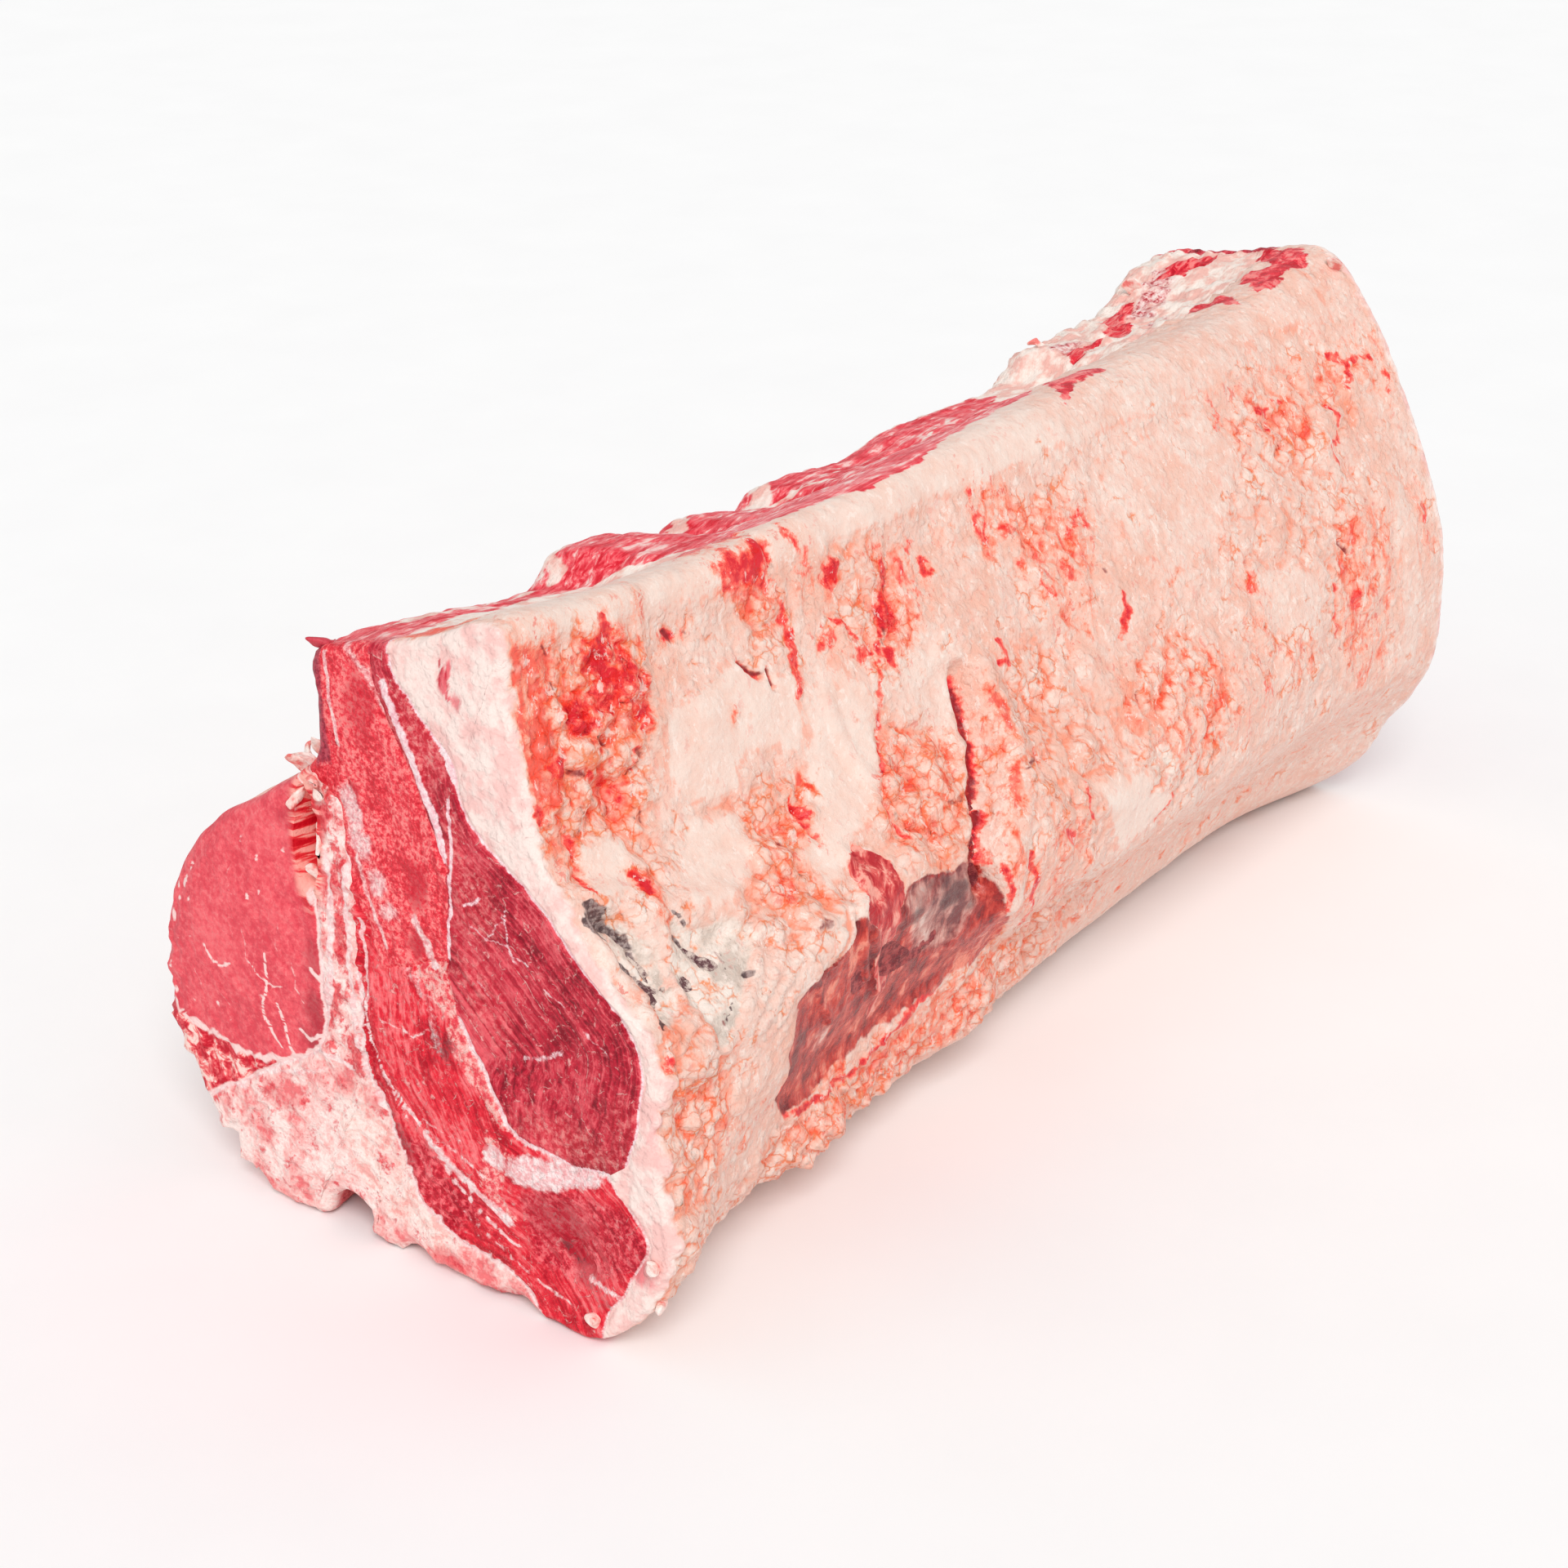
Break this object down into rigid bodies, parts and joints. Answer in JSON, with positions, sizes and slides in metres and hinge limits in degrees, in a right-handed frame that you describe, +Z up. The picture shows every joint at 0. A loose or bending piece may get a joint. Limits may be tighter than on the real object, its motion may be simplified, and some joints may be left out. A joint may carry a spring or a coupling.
{
  "type": "whole raw bone-in short loin of beef",
  "caption": "Whole raw bone-in beef loin standing on its sawn backbone, with the tenderloin, eye muscle, bone and fat cover showing at the cut end.",
  "frame": {"origin": "bottom centre of the bounding box, on the sawn base of the backbone", "axes": "+X along the loin towards the rib end, +Y towards the tenderloin side, +Z up"},
  "size_m": [0.4418, 0.1932, 0.2063],
  "materials": {
    "tenderloin": "moist, close-grained raw lean",
    "bone_plate": "sawn, granular red marrow bone",
    "eye_muscle": "moist, dark raw lean with fine fibres",
    "deep_muscle": "moist raw lean with pale seams",
    "backbone": "sawn pale bone and gristle, damp",
    "cover_fat": "waxy cream fat with red stains"
  },
  "bodies": {
    "root": {"tenderloin": "tenderloin", "bone_plate": "bone_plate", "eye_muscle": "eye_muscle", "deep_muscle": "deep_muscle", "backbone": "backbone", "cover_fat": "cover_fat"}
  },
  "joints": []
}
